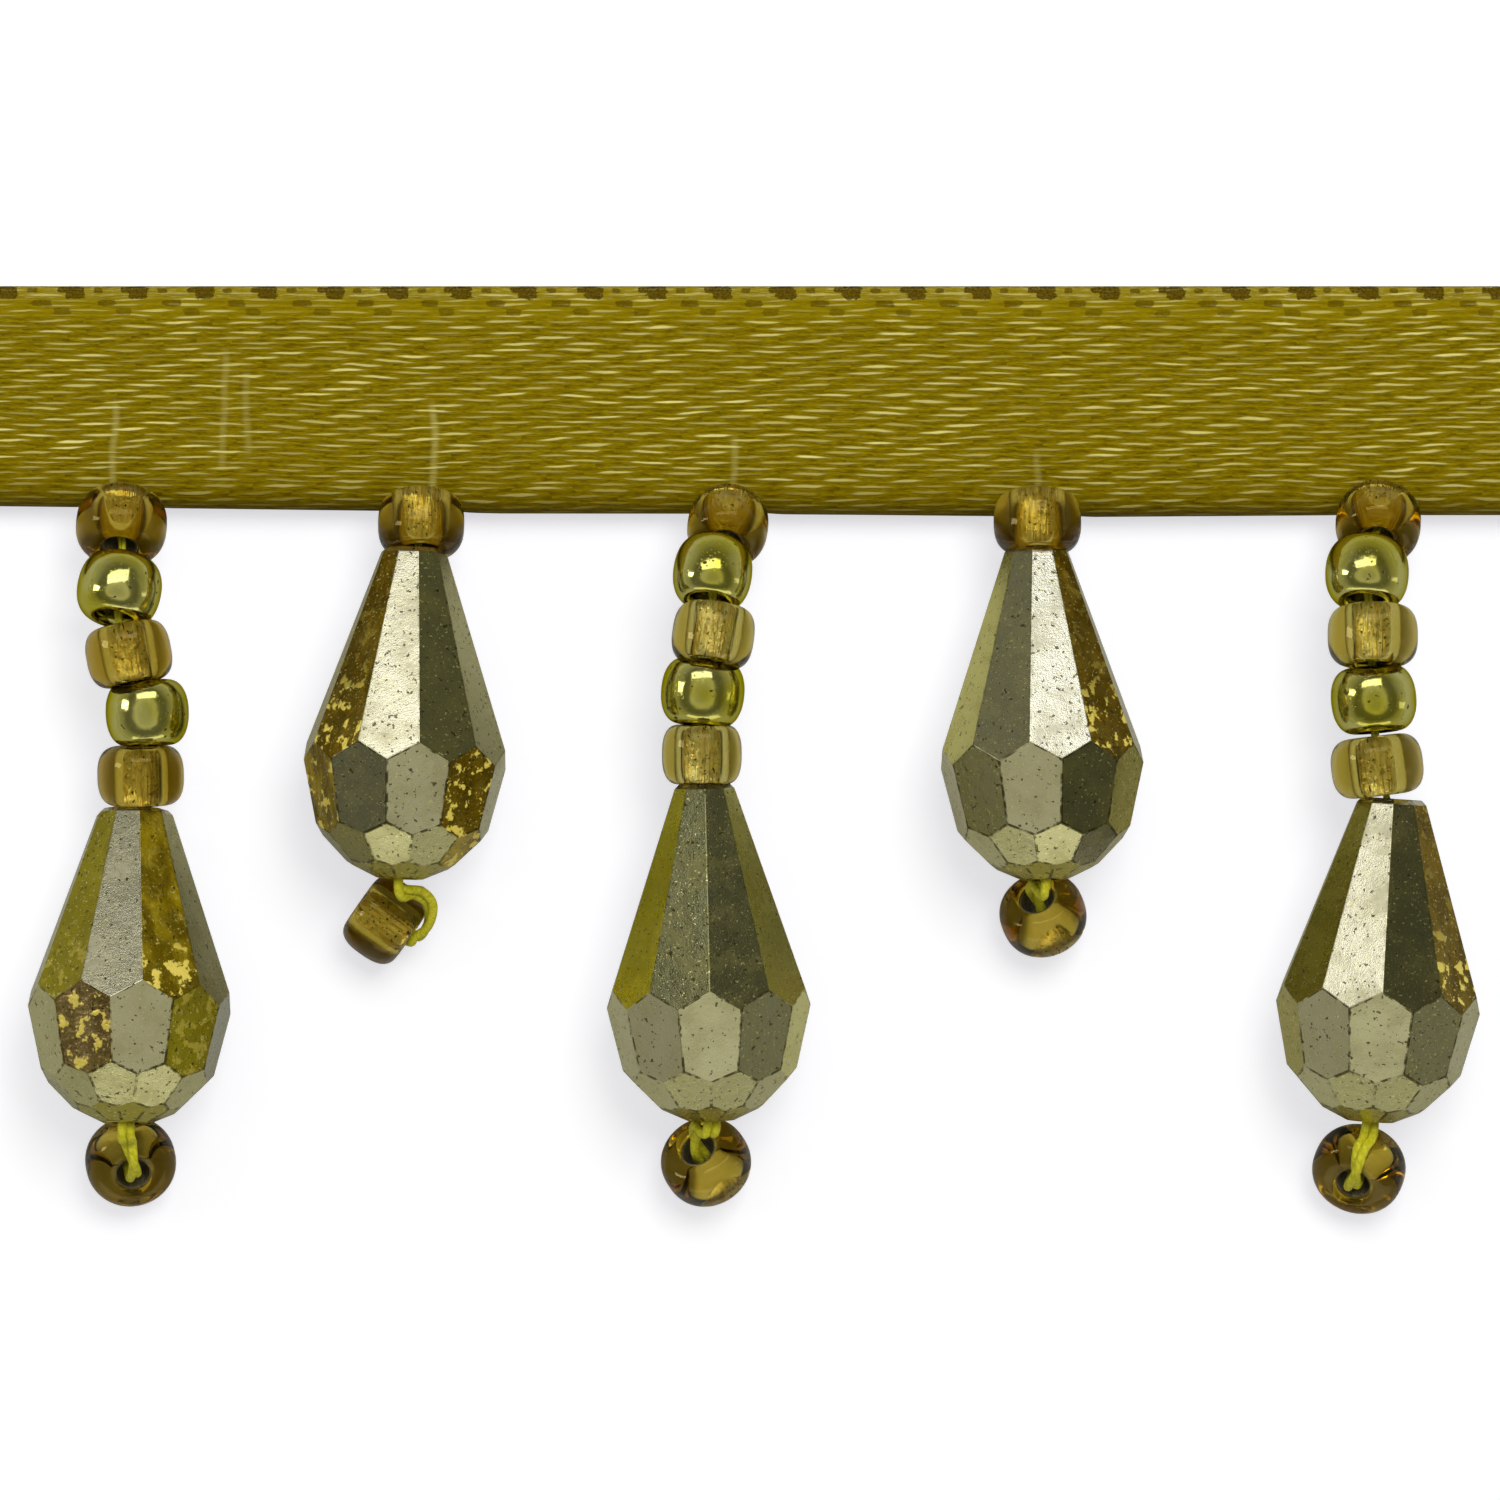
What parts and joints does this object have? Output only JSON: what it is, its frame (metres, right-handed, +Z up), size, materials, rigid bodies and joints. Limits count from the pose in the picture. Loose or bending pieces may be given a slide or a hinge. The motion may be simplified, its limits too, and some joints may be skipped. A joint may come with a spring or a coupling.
{
  "type": "beaded fringe trim",
  "caption": "Satin ribbon folded lengthwise with alternating long and short strands of amber glass and mirror beads, each ending in a faceted drop bead.",
  "frame": {"origin": "centre of the footprint on the surface that the trim lies on", "axes": "+X along the ribbon, +Y across it from the bead tips to the ribbon's open edge, +Z up from the surface"},
  "size_m": [0.075, 0.0416, 0.009],
  "materials": {
    "satin_ribbon": "olive-gold satin weave",
    "amber_glass": "amber glass with a gold-silver lining in the hole, drawn opaque",
    "mirror_plating": "pale greenish-gold mirror plating, pitted",
    "plated_facets": "worn silver-gold plating on cut facets",
    "bead_thread": "yellow-green twisted thread"
  },
  "bodies": {
    "root": {"ribbon": "satin_ribbon", "strand_1_glass_1": "amber_glass", "strand_1_glass_2": "amber_glass", "strand_1_glass_3": "amber_glass", "strand_1_mirror_1": "mirror_plating", "strand_1_mirror_2": "mirror_plating", "strand_1_drop": "plated_facets", "strand_1_stopper": "amber_glass", "strand_1_thread": "bead_thread", "strand_2_glass_1": "amber_glass", "strand_2_drop": "plated_facets", "strand_2_stopper": "amber_glass", "strand_2_thread": "bead_thread", "strand_3_glass_1": "amber_glass", "strand_3_glass_2": "amber_glass", "strand_3_glass_3": "amber_glass", "strand_3_mirror_1": "mirror_plating", "strand_3_mirror_2": "mirror_plating", "strand_3_drop": "plated_facets", "strand_3_stopper": "amber_glass", "strand_3_thread": "bead_thread", "strand_4_glass_1": "amber_glass", "strand_4_drop": "plated_facets", "strand_4_stopper": "amber_glass", "strand_4_thread": "bead_thread", "strand_5_glass_1": "amber_glass", "strand_5_glass_2": "amber_glass", "strand_5_glass_3": "amber_glass", "strand_5_mirror_1": "mirror_plating", "strand_5_mirror_2": "mirror_plating", "strand_5_drop": "plated_facets", "strand_5_stopper": "amber_glass", "strand_5_thread": "bead_thread"}
  },
  "joints": []
}
